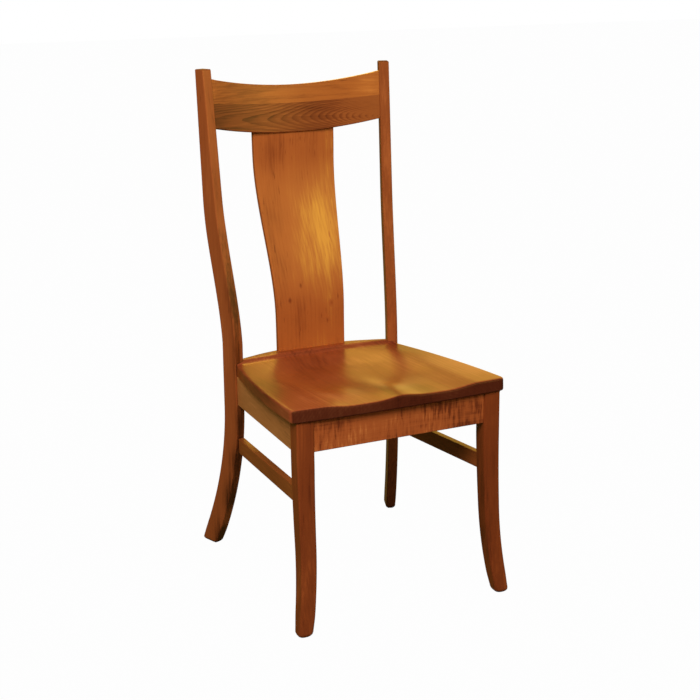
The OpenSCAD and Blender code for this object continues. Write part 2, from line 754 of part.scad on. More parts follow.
// Both screws of one block: one through it into each rail that it joins
module at_block_screws() {
    for (m = [0, 1]) mirror([m, -m, 0])
        translate([block_mid, screw_in_block, block_axis_z]) rotate([-90, 0, 0]) children();
}

block_screw_l = screw_in_block + screw_in_rail;
module block_screw_holes() at_blocks() at_block_screws() screw_hole(block_screw_l, block_w);

seat_screw_l = block_t + block_drop + screw_in_seat;
module at_seat_screw() translate([block_mid / 2, block_mid / 2, block_top - block_t])
    mirror([0, 0, 1]) children();
module seat_screw_hole() at_seat_screw() screw_hole(seat_screw_l, screw_head_h);

module block_screws() color(steel) centred() mirrored_pair() at_blocks() at_block_screws() screw(block_screw_l);
module seat_screws() color(steel) centred() mirrored_pair() at_blocks() at_seat_screw() screw(seat_screw_l);

left_back_post();
right_back_post();
left_front_leg();
right_front_leg();
front_rail();
back_rail();
left_side_rail();
right_side_rail();
left_stretcher();
right_stretcher();
crest_upper_board();
crest_lower_board();
crest_dowels();
back_splat();
seat_board(1);  // seat_board_1
seat_board(2);  // seat_board_2
seat_board(3);  // seat_board_3
seat_board(4);  // seat_board_4
seat_board(5);  // seat_board_5
front_left_block();
front_right_block();
back_left_block();
back_right_block();
block_screws();
seat_screws();
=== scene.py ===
# %% [markdown]
# # A wooden side chair
# The chair has two tall back posts that are sawn to a long curve, a scooped crest rail between them, a bent
# splat, a saddle seat glued up from boards, flared front legs, and rails and stretchers that tie them
# together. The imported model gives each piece's place. Here the visible wood is modelled again with eased
# edges and smooth curves, and gets a lacquered finish.

# %% Load the model
from math import atan2, copysign, cos, exp, hypot, pi, radians, sin, sqrt, tan
import bmesh
import bpy
from mathutils import Euler, Matrix, Vector


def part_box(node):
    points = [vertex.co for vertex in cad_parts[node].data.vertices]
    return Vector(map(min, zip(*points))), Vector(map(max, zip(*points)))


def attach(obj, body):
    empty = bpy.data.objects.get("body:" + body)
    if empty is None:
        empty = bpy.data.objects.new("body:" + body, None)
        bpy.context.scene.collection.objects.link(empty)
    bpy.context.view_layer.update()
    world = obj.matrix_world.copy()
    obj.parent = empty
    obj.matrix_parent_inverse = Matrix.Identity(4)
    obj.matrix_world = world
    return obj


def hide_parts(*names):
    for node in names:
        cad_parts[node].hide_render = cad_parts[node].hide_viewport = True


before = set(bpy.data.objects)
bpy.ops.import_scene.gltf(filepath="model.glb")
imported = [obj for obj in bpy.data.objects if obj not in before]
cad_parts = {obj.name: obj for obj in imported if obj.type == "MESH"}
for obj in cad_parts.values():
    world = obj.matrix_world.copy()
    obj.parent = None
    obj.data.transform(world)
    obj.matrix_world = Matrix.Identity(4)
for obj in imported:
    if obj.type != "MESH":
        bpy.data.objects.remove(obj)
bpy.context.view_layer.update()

# %% [markdown]
# Sizes are written in millimetres, as a chair maker would read them off a drawing, and `mm` turns them into
# Blender's metres. On the drawing, y = 0 is the front of the front legs. The model's own origin lies under
# the middle of the chair, so `SETBACK` is how far the drawing's zero lies in front of it.

# %% Units and the drawing's zero
mm = 0.001
FRONT_RAIL_SETBACK = 3
SETBACK = FRONT_RAIL_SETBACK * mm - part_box("front_rail")[0].y


def spot(x, y, z):
    """A point of the drawing, in Blender's metres."""
    return Vector((x * mm, y * mm - SETBACK, z * mm))


print("drawing zero is", round(SETBACK, 4), "m in front of the origin")

# %% [markdown]
# The camera looks down a little at the chair from its left front. A lens longer than a usual one keeps the
# back legs nearly as large as the front ones, as in a catalogue picture. The camera is turned by a matrix
# whose columns are its right, its up and the way behind it.

# %% Camera
CAMERA_PLACE = (-1127.0, -2199.5, 1240.6)
LOOK_AZIMUTH, LOOK_DOWN, ROLL = radians(-25.31), radians(15.92), radians(-0.69)
LENS, LENS_SHIFT = 70.67, (-0.01394, -0.0002)

ahead = Vector((-sin(LOOK_AZIMUTH) * cos(LOOK_DOWN), cos(LOOK_AZIMUTH) * cos(LOOK_DOWN), -sin(LOOK_DOWN)))
level = Vector((cos(LOOK_AZIMUTH), sin(LOOK_AZIMUTH), 0))
above = level.cross(ahead)
right = cos(ROLL) * level + sin(ROLL) * above
up = cos(ROLL) * above - sin(ROLL) * level

bpy.ops.object.camera_add(location=spot(*CAMERA_PLACE))
camera = bpy.context.object
camera.name = "camera"
turned = Matrix((right, up, -ahead)).transposed().to_4x4()
camera.matrix_world = Matrix.Translation(camera.location) @ turned
camera.data.sensor_width = 36
camera.data.lens = LENS
camera.data.shift_x, camera.data.shift_y = LENS_SHIFT
bpy.context.scene.camera = camera
bpy.context.scene.view_settings.view_transform = "Standard"
print("camera at", [round(v, 3) for v in camera.location])

# %% [markdown]
# Every bar of this chair could be cut from a block with curved cuts, but in Blender it is easier to draw it
# out: a rectangle is added at one end, then extruded and resized from station to station. Each station gives
# its place along the bar, the middle of the section and its two sizes. This keeps clean rings of four corners
# all the way, so edges can be eased afterwards.

# %% Drawing out a bar
FLAT = {"X": (0, pi / 2, 0), "Y": (pi / 2, 0, 0), "Z": (0, 0, 0)}


def along(axis, place, first, second):
    """Puts three numbers in X, Y, Z order: one along the axis and two across it."""
    return {"X": (place, first, second), "Y": (first, place, second), "Z": (first, second, place)}[axis]


def deselect():
    if bpy.context.object and bpy.context.object.mode != "OBJECT":
        bpy.ops.object.mode_set(mode="OBJECT")
    bpy.ops.object.select_all(action="DESELECT")


def take(piece):
    """Selects one piece alone, so that operators act on nothing else."""
    deselect()
    piece.select_set(True)
    bpy.context.view_layer.objects.active = piece


def draw_out(name, axis, stations):
    """A bar through stations of (place, middle, middle, size, size), on the drawing's own zero."""
    deselect()
    place, first, second, wide, deep = stations[0]
    middle = Vector(along(axis, place, first, second)) * mm
    bpy.ops.mesh.primitive_plane_add(size=1, location=middle, rotation=FLAT[axis])
    piece = bpy.context.object
    piece.name = piece.data.name = name
    bpy.ops.object.mode_set(mode="EDIT")
    bpy.ops.mesh.select_all(action="SELECT")
    bpy.ops.transform.resize(value=along(axis, 1, wide * mm, deep * mm), center_override=middle)
    for place, first, second, next_wide, next_deep in stations[1:]:
        step = Vector(along(axis, place, first, second)) * mm - middle
        middle = middle + step
        bpy.ops.mesh.extrude_region_move(TRANSFORM_OT_translate={"value": step})
        grow = along(axis, 1, next_wide / wide, next_deep / deep)
        bpy.ops.transform.resize(value=grow, center_override=middle)
        wide, deep = next_wide, next_deep
    bpy.ops.mesh.select_all(action="SELECT")
    bpy.ops.mesh.normals_make_consistent(inside=False)
    bpy.ops.object.mode_set(mode="OBJECT")
    bpy.ops.object.transform_apply(location=True, rotation=True, scale=True)
    return piece


def stand(piece, x, y, z, turn=(0, 0, 0)):
    """Turns a piece about the drawing's zero, moves it to its place, and keeps the place in its mesh."""
    take(piece)
    piece.rotation_euler = turn
    piece.location = spot(x, y, z)
    bpy.ops.object.transform_apply(location=True, rotation=True, scale=True)
    return piece


def saw_off(piece, point, way):
    """Cuts off what lies on the side of the plane that `way` points to, and closes the cut."""
    take(piece)
    bpy.ops.object.mode_set(mode="EDIT")
    bpy.ops.mesh.select_all(action="SELECT")
    bpy.ops.mesh.bisect(plane_co=point, plane_no=way, use_fill=True, clear_outer=True)
    bpy.ops.object.mode_set(mode="OBJECT")
    return piece


def copy_of(piece, name):
    """A copy with a mesh of its own."""
    twin = piece.copy()
    twin.data = piece.data.copy()
    twin.name = twin.data.name = name
    bpy.context.collection.objects.link(twin)
    return twin


def other_hand(piece, name):
    """A mirrored copy. Mirroring turns the faces inside out, so they are turned back."""
    twin = copy_of(piece, name)
    take(twin)
    bpy.ops.object.mode_set(mode="EDIT")
    bpy.ops.mesh.select_all(action="SELECT")
    bpy.ops.transform.mirror(constraint_axis=(True, False, False), center_override=(0, 0, 0))
    bpy.ops.mesh.normals_make_consistent(inside=False)
    bpy.ops.object.mode_set(mode="OBJECT")
    return twin


print("a bar can be drawn out along", ", ".join(FLAT))

# %% [markdown]
# A maker takes the sharp edges off with a plane and sandpaper, so that they feel soft and catch the light.
# The bevel operator does this to the edges that are picked by their angle, and by their place where a glue
# line has to stay flush. At the feet the corners wear rounder, so there the bevel's points are drawn in
# further, smoothly, towards the floor. A Weighted Normal modifier then keeps the broad faces flat in shading,
# and the small round takes all of the turn.

# %% Easing edges
SHARP = 35


def ease(piece, radius, rounds=3, pick=lambda middle: True):
    """Rounds the sharp edges that `pick` accepts by their middle."""
    take(piece)
    bpy.ops.object.mode_set(mode="EDIT")
    bpy.ops.mesh.select_mode(type="EDGE")
    bpy.ops.mesh.select_all(action="DESELECT")
    work = bmesh.from_edit_mesh(piece.data)
    for edge in work.edges:
        middle = (edge.verts[0].co + edge.verts[1].co) / 2
        if len(edge.link_faces) == 2 and edge.calc_face_angle() > radians(SHARP) and pick(middle):
            edge.select_set(True)
    bmesh.update_edit_mesh(piece.data)
    bpy.ops.mesh.bevel(
        offset=radius * mm, segments=rounds, profile=0.5, affect="EDGES", clamp_overlap=True)
    bpy.ops.mesh.select_mode(type="VERT")
    bpy.ops.object.mode_set(mode="OBJECT")
    return piece


def smooth(t):
    """Rises from 0 to 1 without a corner at either end."""
    t = min(1, max(0, t))
    return t * t * (3 - 2 * t)


def round_foot(piece, station, radius, foot_radius, reach):
    """Lets a bar's eased edges grow rounder towards its foot. `station` gives the section at each height."""
    for point in piece.data.vertices:
        height = point.co.z / mm
        if height < reach:
            middle_x, middle_y, wide, deep = station(height)[1:]
            wanted = radius + (foot_radius - radius) * (1 - smooth(height / reach))
            grow = min(wanted, wide / 2, deep / 2) / radius
            x, y = point.co.x / mm - middle_x, point.co.y / mm - middle_y
            point.co.x = (middle_x + copysign(wide / 2 - (wide / 2 - abs(x)) * grow, x)) * mm
            point.co.y = (middle_y + copysign(deep / 2 - (deep / 2 - abs(y)) * grow, y)) * mm


def smooth_off(piece, finish, slot, *nodes):
    """Smooth shading, then the finish. The piece takes the place of its nodes in the model."""
    take(piece)
    bpy.ops.object.shade_smooth_by_angle(angle=radians(50))
    weighted = piece.modifiers.new("Flat faces", "WEIGHTED_NORMAL")
    weighted.keep_sharp = True
    bpy.ops.object.modifier_apply(modifier=weighted.name)
    piece.data.materials.clear()
    piece.data.materials.append(finish.owner)
    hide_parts(*nodes)
    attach(piece, "root")
    size = [round(v / mm) for v in piece.dimensions]
    print(f"{piece.name}: {len(piece.data.polygons)} faces, {size} mm")


# %% [markdown]
# Shader maths reads best as sums. `Wire` wraps a node's output, so that adding or multiplying wires adds Math
# nodes, and `Finish` holds the nodes of one material, or of the world, and makes every other node.

# %% Shader maths
class Wire:
    def __init__(self, finish, socket):
        self.finish, self.socket = finish, socket

    def maths(self, operation, *values):
        return self.finish.node("ShaderNodeMath", {"operation": operation}, dict(enumerate(values)))

    def __add__(self, other):
        return self.maths("ADD", self, other)

    def __sub__(self, other):
        return self.maths("SUBTRACT", self, other)

    def __rsub__(self, other):
        return self.maths("SUBTRACT", other, self)

    def __mul__(self, other):
        return self.maths("MULTIPLY", self, other)

    def __truediv__(self, other):
        return self.maths("DIVIDE", self, other)

    def __pow__(self, other):
        return self.maths("POWER", self, other)

    __radd__ = __add__
    __rmul__ = __mul__


class Finish:
    def __init__(self, owner):
        self.owner = owner
        owner.use_nodes = True
        self.tree = owner.node_tree
        self.tree.nodes.clear()

    def node(self, kind, settings=None, inputs=None, output=0):
        made = self.tree.nodes.new(kind)
        for key, value in (settings or {}).items():
            setattr(made, key, value)
        for key, value in (inputs or {}).items():
            if isinstance(value, Wire):
                self.tree.links.new(value.socket, made.inputs[key])
            else:
                made.inputs[key].default_value = value
        return Wire(self, made.outputs[output]) if len(made.outputs) else None

    def noise(self, at, scale, detail=2, roughness=0.5):
        return self.node("ShaderNodeTexNoise", {"noise_dimensions": "3D"}, {
            "Vector": at, "Scale": scale, "Detail": detail, "Roughness": roughness})

    def blend(self, amount, first, second, way="MIX"):
        settings = {"data_type": "RGBA", "blend_type": way, "clamp_result": False}
        return self.node("ShaderNodeMix", settings, {0: amount, 6: first, 7: second}, output=2)

    def stretch(self, at, scale, shift=(0, 0, 0)):
        return self.node("ShaderNodeMapping", {"vector_type": "POINT"}, {
            "Vector": at, "Scale": scale, "Location": shift})

    def soft_step(self, value, low, high):
        settings = {"interpolation_type": "SMOOTHSTEP", "clamp": True}
        return self.node("ShaderNodeMapRange", settings, {
            "Value": value, "From Min": low, "From Max": high})


def colour(*screen):
    """A colour as read on a screen, from 0 to 255, as the linear values that a shader takes."""
    linear = [v / 255 / 12.92 if v < 10 else ((v / 255 + 0.055) / 1.055) ** 2.4 for v in screen]
    return (*linear, 1)


print("mid grey on a screen is", round(colour(128, 128, 128)[0], 3), "in a shader")

# %% [markdown]
# The wood is a close-grained hardwood with a reddish brown stain under satin lacquer. Boards are sawn from a
# log, so the grain is made the same way: distance from the log's middle gives the growth rings, a slight lean
# of the log against the board turns them into long arches, and stretched noise gives the fibres and the short
# dark pores. A board that is bent would cut through straight fibres, so `deep` flattens them to follow it.
# Stain soaks in unevenly, which a slow noise gives, and deepest into end grain, which faces along the grain.
# Some boards are curly, with ripples across the grain.
#
# No board is of one tone all over. Soft spots vary it, each with its place, how fast it fades along X, Y
# and Z, and how much darker it makes the wood; below zero it makes it lighter. A knot is a small, dark one.
# Most spots, though, are painted light and shade: shade, highlights and reflections put into the colour.
#
# The amber lacquer tints what it reflects, and it reflects more at a glancing angle, so a golden gloss is
# mixed over the wood by Fresnel.

# %% Lacquered wood
TURN_GRAIN = {"X": (0, -pi / 2, 0), "Y": (pi / 2, 0, 0), "Z": (0, 0, 0)}
AMBER, AMBER_GLANCE = (0.92, 0.57, 0.10, 1), (1.0, 0.8, 0.4, 1)
SOAKED = (0.29, 0.28, 0.34, 1)


def growth_rings(wood, turned, slow, lean, bend, ring, wave):
    """The late wood, which is the darker part of each year's ring, round a log along the turned Z."""
    x, y, z = (wood.node("ShaderNodeSeparateXYZ", None, {"Vector": turned}, output=k) for k in range(3))
    from_heart_x = x - z * lean[0]
    from_heart_y = y - z * lean[1] + z * z * bend
    away = (from_heart_x * from_heart_x + from_heart_y * from_heart_y) ** 0.5
    wander = wood.noise(wood.stretch(turned, (1, 1, 0.12), (3, 1, 2)), 38, 3)
    count = (away + slow * (0.03 * wave) + wander * (0.006 * wave)) / ring
    year = count.maths("FRACT", count)
    late = wood.soft_step(year, 0.25, 0.95) - wood.soft_step(year, 0.95, 1.0)
    return late * wood.noise(wood.stretch(turned, (1, 1, 0.2), (7, 2, 5)), 30, 2)


def ripples(wood, turned, curl):
    """Curly figure: short waves across the grain, in patches."""
    waves = wood.noise(wood.stretch(turned, (0.14, 0.14, 1), (4, 4, 4)), 170, 2, 0.6)
    patches = wood.soft_step(wood.noise(turned, 14, 1), 0.3, 0.6)
    return (waves - 0.5) * (0.4 + patches) * (4 * curl)


def lacquer_over(wood, stained, fibres, rough, end_grain):
    """The stained wood as a body, with the amber lacquer over it, and the material's output."""
    bump = wood.node("ShaderNodeBump", None, {"Height": fibres, "Strength": 0.25, "Distance": 0.00004})
    body = wood.node("ShaderNodeBsdfPrincipled", None, {
        "Base Color": stained, "Roughness": rough, "Normal": bump, "Specular IOR Level": 0.0})
    lacquer = wood.node("ShaderNodeBsdfPrincipled", None, {
        "Base Color": AMBER, "Metallic": 1.0, "Specular Tint": AMBER_GLANCE, "Roughness": rough})
    glance = wood.node("ShaderNodeFresnel", None, {"IOR": 1.45})
    shader = wood.node("ShaderNodeMixShader", None, {
        0: glance * (1 - end_grain * 0.8), 1: body, 2: lacquer})
    wood.node("ShaderNodeOutputMaterial", None, {"Surface": shader})


def lacquered_wood(name, grain, tones, heart, lean=(0.01, 0.03), bend=0.0, ring=0.0065, rings=0.15,
                   wave=1.0, fibre=0.45, deep=0.15, cloud=0.4, curl=0.0, gloss=0.36, soak=0.62, pores=0.2,
                   spots_and_painted_light=()):
    """Wood whose grain runs along one axis. The middle of its log passes through the point `heart`.

    `lean` and `bend` turn the log against the board. `ring` is the width of a year's ring, `rings` how
    strongly the rings show and `wave` how uneven they are. `fibre`, `cloud`, `curl` and `pores` are the
    strengths of the other figures, and `soak` is how much darker the stain makes end grain."""
    wood = Finish(bpy.data.materials.new(name))
    dark, middle, light = (colour(*tone) for tone in tones)
    place = wood.node("ShaderNodeTexCoord", output=3)
    turn = TURN_GRAIN[grain]
    turned = wood.node("ShaderNodeMapping", {"vector_type": "POINT"}, {
        "Vector": place, "Rotation": turn, "Location": -(Euler(turn).to_matrix() @ heart)})

    slow = wood.noise(wood.stretch(turned, (1, 1, 0.25)), 9, 2)
    late = growth_rings(wood, turned, slow, lean, bend, ring, wave)
    fibres = wood.noise(wood.stretch(turned, (1, deep, 0.03), (1, 4, 9)), 400, 3, 0.65)
    streaks = wood.noise(wood.stretch(turned, (1, deep, 0.03), (5, 3, 1)), 120, 2, 0.6)
    specks = wood.noise(wood.stretch(turned, (1, deep, 0.1), (6, 2, 7)), 300, 1)
    clouds = wood.noise(wood.stretch(turned, (1, 1, 0.45), (2, 8, 4)), 11, 3, 0.55)
    shade = 0.5 + (clouds - 0.5) * (2.2 * cloud) - (late - 0.2) * rings
    shade = shade + (fibres - 0.5) * (1.8 * fibre) + (streaks - 0.5) * (1.5 * fibre)
    shade = shade - wood.soft_step(specks, 0.66, 0.8) * pores
    if curl:
        shade = shade + ripples(wood, turned, curl)
    for mark_place, fade, depth in spots_and_painted_light:
        off = wood.node("ShaderNodeVectorMath", {"operation": "DISTANCE"}, {
            0: wood.stretch(place, fade), 1: mark_place * Vector(fade)}, output=1)
        shade = shade - (1 - wood.soft_step(off + (slow - 0.5) * 0.5, 0, 1)) * depth

    normal = wood.node("ShaderNodeTexCoord", output=1)
    facing = wood.node("ShaderNodeSeparateXYZ", None, {"Vector": normal}, output="XYZ".index(grain))
    end_grain = wood.soft_step(facing.maths("ABSOLUTE", facing), 0.35, 0.7)
    low = wood.blend(wood.soft_step(shade, 0.0, 0.5), dark, middle)
    tint = wood.blend(wood.soft_step(shade, 0.5, 1.0), low, light)
    stained = wood.blend(end_grain * soak, tint, wood.blend(1.0, tint, SOAKED, "MULTIPLY"))
    lacquer_over(wood, stained, fibres, gloss + (clouds - 0.5) * 0.06, end_grain)
    print(name, "has", len(wood.tree.nodes), "nodes")
    return wood


# %% [markdown]
# Legs, rails and the seat's edges are parts of circles. A maker sets out such a curve by its run and its rise
# and bends a thin strip to it, so two small functions do the same. Stations are set closer together round the
# foot of an upright piece, because its edge there is a quarter circle.

# %% Curves
def arc_radius(run, rise):
    """Radius of the circle that rises by `rise` over a level `run`."""
    return (run * run + rise * rise) / (2 * rise)


def arc_rise(run, rise, at):
    """How far that circle has risen at a part of its run."""
    radius = arc_radius(run, rise)
    return radius - sqrt(radius * radius - at * at)


FOOT_ROUND = 9


def foot_inset(z):
    """How far the foot's round edge lies inside the leg's side at a height."""
    return 0 if z >= FOOT_ROUND else FOOT_ROUND - sqrt(FOOT_ROUND ** 2 - (FOOT_ROUND - z) ** 2)


def heights(top, steps):
    """Close together round the foot, and even above it."""
    foot = [FOOT_ROUND * (1 - cos(pi / 2 * i / 5)) for i in range(6)]
    return foot + [FOOT_ROUND + (top - FOOT_ROUND) * i / steps for i in range(1, steps + 1)]


print("stations round a foot:", [round(z, 1) for z in heights(100, 1)][:6], "mm")

# %% [markdown]
# A back post is one plank, 22 mm thick, sawn so that it stands nearly upright at the seat, leans back above
# it in a slow reverse curve, and splays to the rear below it. Its plank is turned a little towards the middle
# of the chair. It is drawn out upright beside the drawing's zero, then turned and moved to its place. The
# left post's front is shaded more than its side, so painted shade follows that face down the curve, with a
# near-black dark tone for the foot, and painted light brightens its side round the seat. The right post has
# two patches of painted light.

# %% Back posts
BACK_H, POST_SPREAD, POST_SETBACK, POST_TURN = 1029, 378, 389, radians(19.5)
POST_T, POST_D, POST_TOP_D, POST_TAPER_H = 22.2, 42, 26, 700
SPLAY, SPLAY_H, SPLAY_CURVE = 90.5, 330, 1.9
LEAN_H, LEAN_BACK, LEAN_SWING, SWING_H = 470, radians(3.9), 30, 300
SEAT_H, SLOPE, SEAT_T = 449, radians(3), 26
LEAN_IN = radians(0.6)


def post_depth(z):
    """The post keeps its width across the curve, so its level depth grows where it splays."""
    splay = SPLAY * SPLAY_CURVE / SPLAY_H * max(0, 1 - z / SPLAY_H) ** (SPLAY_CURVE - 1)
    taper = (POST_D - POST_TOP_D) * max(0, (z - POST_TAPER_H) / (BACK_H - POST_TAPER_H))
    return POST_D * hypot(1, splay) - taper


def post_middle(z):
    """How far behind the post's foremost line its middle lies."""
    splay = SPLAY * max(0, 1 - z / SPLAY_H) ** SPLAY_CURVE
    lean = max(0, z - LEAN_H) * tan(LEAN_BACK) + LEAN_SWING * smooth((z - LEAN_H) / SWING_H)
    return POST_D / 2 + splay + lean


def post_in(z):
    """How far the post leans in towards the other one, counted from the seat."""
    return (z - SEAT_H) * tan(LEAN_IN)


def post_station(z):
    inset = 2 * foot_inset(z)
    return z, post_middle(z), POST_T / 2 + post_in(z), post_depth(z) - inset, POST_T - inset


def post_front(z, share):
    """A point of the right post's front face, at a share of its thickness from its outer edge."""
    back = post_middle(z) - post_depth(z) / 2
    across = POST_T * share + post_in(z)
    x = POST_SPREAD / 2 + back * sin(POST_TURN) - across * cos(POST_TURN)
    return x, POST_SETBACK + back * cos(POST_TURN) + across * sin(POST_TURN)


def painted_front_shade():
    """Painted shade down the left post's front face, which lies in more shade than its side."""
    for z, depth in ((780, 0.16), (680, 0.28), (590, 0.42), (505, 0.36), (420, 0.3), (290, 0.5), (200, 0.45),
                     (105, 0.46), (15, 0.5)):
        x, y = post_front(z, 0.5)
        yield spot(-x, y - 5, z), (34 if z > 400 else 42, 36, 10), depth


# Painted shade on the left post's front, down to a near-black tone, and painted light on its side.
post_wood = {
    "left": lacquered_wood("post_wood_left_painted_shade", "Z", ((62, 23, 10), (143, 71, 32), (168, 91, 43)),
                           heart=spot(90, 300, 0), deep=1.0, fibre=0.28, cloud=0.28,
                           spots_and_painted_light=(*painted_front_shade(), (spot(-204, 425, 530), (40, 20, 4), -0.28))),
    "right": lacquered_wood("post_wood_right", "Z", ((88, 36, 17), (128, 60, 27), (152, 78, 37)),
                            heart=spot(-160, 300, 200), deep=1.0, cloud=0.55,
                            # painted light: two lighter spots on the right post
                            spots_and_painted_light=((spot(190, 400, 480), (9, 5, 7), -0.28),
                                   (spot(190, 430, 790), (9, 5, 7), -0.25))),
}
POST_EASE = 2.5
right_post = draw_out("back_post_right", "Z", [post_station(z) for z in heights(BACK_H, 84)])
ease(right_post, POST_EASE)
round_foot(right_post, post_station, POST_EASE, foot_radius=6, reach=40)
stand(right_post, POST_SPREAD / 2, POST_SETBACK, 0, turn=(0, 0, pi / 2 - POST_TURN))
left_post = other_hand(right_post, "back_post_left")
for post, side in ((left_post, "left"), (right_post, "right")):
    smooth_off(post, post_wood[side], "frame_wood", f"{side}_back_post")

# %% [markdown]
# A front leg is almost square and grows a little slimmer to the floor, where it curves forwards and outwards.
# Its top is sawn to the slope of the seat, which falls three degrees towards the back. Where the seat sits on
# it, its edges stay sharp, so that the joint closes.

# %% Front legs
LEG_X, LEG_W, LEG_D, LEG_TAPER = 216.5, 35.5, 34, 5
LEG_FORWARD, LEG_FORWARD_H = 25, 330
LEG_OUTWARD, LEG_OUTWARD_H = 15.5, 180
SEAT_DOWN = Vector((0, sin(SLOPE), cos(SLOPE)))


def under_seat(y):
    """Height of the seat's underside at a distance behind the drawing's zero."""
    return SEAT_H - SEAT_T / cos(SLOPE) - y * tan(SLOPE)


def leg_station(z):
    below = max(0, LEG_FORWARD_H - z)
    slimmer = LEG_TAPER * below / LEG_FORWARD_H
    wide, deep = LEG_W - slimmer, LEG_D - slimmer
    forward = arc_rise(LEG_FORWARD_H, LEG_FORWARD, below)
    outward = arc_rise(LEG_OUTWARD_H, LEG_OUTWARD, max(0, LEG_OUTWARD_H - z))
    inset = 2 * foot_inset(z)
    return z, LEG_X + outward - wide / 2, deep / 2 - forward, wide - inset, deep - inset


# The right leg's material is a darker, shaded copy with painted shade inside; the left has some painted
# light.
leg_wood = {
    "left": lacquered_wood("leg_wood_left", "Z", ((84, 31, 14), (117, 51, 22), (146, 69, 30)),
                           heart=spot(60, 90, 0), deep=1.0, cloud=0.55,
                           spots_and_painted_light=((spot(-200, 10, 400), (8, 8, 6), -0.12),)),
    "right": lacquered_wood("leg_wood_right_painted_shade", "Z", ((78, 29, 12), (114, 48, 20), (142, 66, 28)),
                            heart=spot(-60, 90, 0), deep=1.0, cloud=0.55,
                            spots_and_painted_light=((spot(178, 15, 150), (50, 8, 4), 0.2),)),
}
LEG_EASE = 3.5
right_leg = draw_out("front_leg_right", "Z", [leg_station(z) for z in heights(SEAT_H, 46)])
ease(right_leg, LEG_EASE, rounds=4, pick=lambda middle: middle.z < (under_seat(40) - 1) * mm)
round_foot(right_leg, leg_station, LEG_EASE, foot_radius=8, reach=45)
stand(right_leg, 0, 0, 0)
saw_off(right_leg, spot(0, 0, under_seat(0)), SEAT_DOWN)
left_leg = other_hand(right_leg, "front_leg_left")
for leg, side in ((left_leg, "left"), (right_leg, "right")):
    smooth_off(leg, leg_wood[side], "frame_wood", f"{side}_front_leg")

# %% [markdown]
# The side rails tie the front legs to the posts under the seat, and the stretchers tie them lower down. Both
# fall with the seat and draw in towards the back, so each is drawn out from the back of the leg to past the
# post and sawn off along the post's front.

# %% Side rails and stretchers
RAIL_H, RAIL_T, STRETCHER_H, STRETCHER_T, STRETCHER_DROP = 62, 18, 32, 14, 163
RAIL_EASE = 1.5
BEHIND_POST = Vector((sin(POST_TURN), cos(POST_TURN), 0))
POST_CORNER = spot(POST_SPREAD / 2, POST_SETBACK, 0)
INTO_POST = Vector((cos(POST_TURN), -sin(POST_TURN), tan(LEAN_IN)))
INNER_CORNER = spot(
    POST_SPREAD / 2 - POST_T * cos(POST_TURN), POST_SETBACK + POST_T * sin(POST_TURN), SEAT_H)
FLIP = Vector((-1, 1, 1))

rail_wood = lacquered_wood("rail_wood", "Y", ((125, 71, 38), (178, 111, 58), (206, 136, 76)),
                           heart=spot(20, 0, 480), deep=1.0)
stretcher_wood = lacquered_wood("stretcher_wood", "Y", ((96, 42, 18), (134, 66, 28), (162, 88, 40)),
                                heart=spot(-30, 0, 200), deep=1.0)


def side_bar(name, front_x, back_x, thick, top, height):
    """A bar along the side, with its outer face from front_x at the leg to back_x at the post."""
    lean = atan2(front_x - back_x, POST_SETBACK - LEG_D)
    wide = thick / cos(lean)

    def station(y):
        x = front_x - (y - LEG_D) * tan(lean) - wide / 2
        return y, x, top - height / 2 / cos(SLOPE) - y * tan(SLOPE), wide, height / cos(SLOPE)

    bar = stand(draw_out(name, "Y", [station(LEG_D), station(200), station(430)]), 0, 0, 0)
    return saw_off(bar, POST_CORNER, BEHIND_POST)


def between_joints(middle):
    """Accepts the long edges of a side bar and not those where it meets the leg and the post."""
    return spot(0, LEG_D + 0.5, 0).y < middle.y < spot(0, 378, 0).y


for kind, front_x, back_x, thick, top, height, finish in (
    ("side_rail", 213.5, 187, RAIL_T, under_seat(0), RAIL_H, rail_wood),
    ("stretcher", 207.5, 188, STRETCHER_T, SEAT_H - STRETCHER_DROP, STRETCHER_H, stretcher_wood),
):
    right_bar = side_bar(f"{kind}_right", front_x, back_x, thick, top, height)
    left_bar = other_hand(right_bar, f"{kind}_left")
    for bar, side in ((left_bar, "left"), (right_bar, "right")):
        ease(bar, RAIL_EASE, pick=between_joints)
        smooth_off(bar, finish, "frame_wood", f"{side}_{kind}")

# %% [markdown]
# The front rail is a curly board between the legs, and the back rail ends on the inner faces of the posts.
# Both are sawn to the slope of the seat, and the edges that meet the seat stay sharp.

# %% Front and back rails
# The front rail's one spot is painted shade towards its right end.
front_rail_wood = lacquered_wood("front_rail_wood", "X", ((98, 39, 18), (157, 77, 35), (188, 107, 52)),
                                 heart=spot(0, 90, 300), curl=0.36, rings=0.06, cloud=0.6, fibre=0.2,
                                 spots_and_painted_light=((spot(150, 0, 380), (9, 9, 9), 0.3),))
LEG_INNER_X = LEG_X - LEG_W
top, bottom = under_seat(FRONT_RAIL_SETBACK), under_seat(0) - RAIL_H
front_rail = stand(draw_out("rail_front", "X", [
    (x, FRONT_RAIL_SETBACK + RAIL_T / 2, (top + bottom) / 2, RAIL_T, top - bottom)
    for x in (-LEG_INNER_X, 0, LEG_INNER_X)
]), 0, 0, 0)
saw_off(front_rail, spot(0, 0, under_seat(0)), SEAT_DOWN)
ease(front_rail, RAIL_EASE, pick=lambda middle: abs(middle.x) < (LEG_INNER_X - 1) * mm and middle.z < 0.4)
smooth_off(front_rail, front_rail_wood, "figured_wood", "front_rail")

